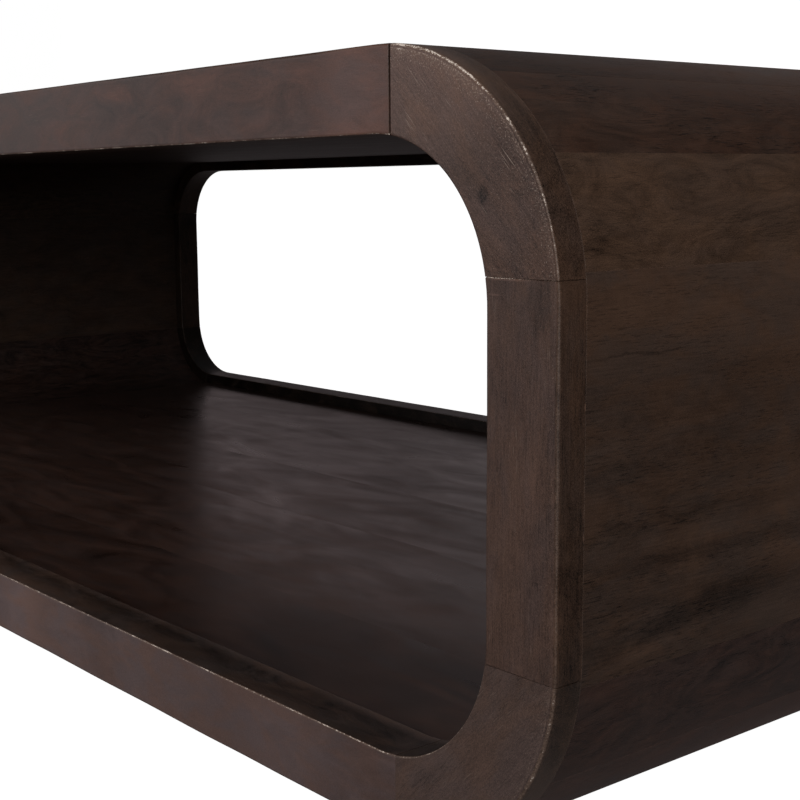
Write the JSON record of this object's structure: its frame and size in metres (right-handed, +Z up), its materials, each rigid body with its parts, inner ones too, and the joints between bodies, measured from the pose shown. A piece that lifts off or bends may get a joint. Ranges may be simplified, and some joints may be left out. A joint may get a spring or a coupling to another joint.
{
  "type": "coffee table",
  "caption": "Low coffee table shaped as a rounded rectangular tube of dark stained boards, open at the front and back, with a level top and a shelf floor inside.",
  "frame": {"origin": "on the floor under the middle of the table", "axes": "+X along the length, +Y from the open front to the open back, +Z up"},
  "size_m": [1.2, 0.6, 0.304],
  "materials": {
    "rim_wood": "dark brown stain under satin lacquer, arrises worn pale",
    "panel_wood": "dark brown stain under satin lacquer",
    "hidden_wood": "bare beech and plywood, glued in",
    "glide_nylon": "moulded black nylon on a steel nail"
  },
  "bodies": {
    "root": {"back_base_rail": "rim_wood", "back_left_base_corner": "rim_wood", "back_left_stile": "rim_wood", "back_left_top_corner": "rim_wood", "back_right_base_corner": "rim_wood", "back_right_stile": "rim_wood", "back_right_top_corner": "rim_wood", "back_rim_tenons": "hidden_wood", "back_top_rail": "rim_wood", "base_glides": "glide_nylon", "floor_board_1": "panel_wood", "floor_board_2": "panel_wood", "floor_board_3": "panel_wood", "floor_board_4": "panel_wood", "floor_board_5": "panel_wood", "front_base_rail": "rim_wood", "front_left_base_corner": "rim_wood", "front_left_stile": "rim_wood", "front_left_top_corner": "rim_wood", "front_right_base_corner": "rim_wood", "front_right_stile": "rim_wood", "front_right_top_corner": "rim_wood", "front_rim_tenons": "hidden_wood", "front_top_rail": "rim_wood", "left_base_spline": "hidden_wood", "left_base_stave_1": "panel_wood", "left_base_stave_2": "panel_wood", "left_base_stave_3": "panel_wood", "left_end_board": "panel_wood", "left_top_spline": "hidden_wood", "left_top_stave_1": "panel_wood", "left_top_stave_2": "panel_wood", "left_top_stave_3": "panel_wood", "right_base_spline": "hidden_wood", "right_base_stave_1": "panel_wood", "right_base_stave_2": "panel_wood", "right_base_stave_3": "panel_wood", "right_end_board": "panel_wood", "right_top_spline": "hidden_wood", "right_top_stave_1": "panel_wood", "right_top_stave_2": "panel_wood", "right_top_stave_3": "panel_wood", "top_board_1": "panel_wood", "top_board_2": "panel_wood", "top_board_3": "panel_wood", "top_board_4": "panel_wood", "top_board_5": "panel_wood"}
  },
  "joints": []
}
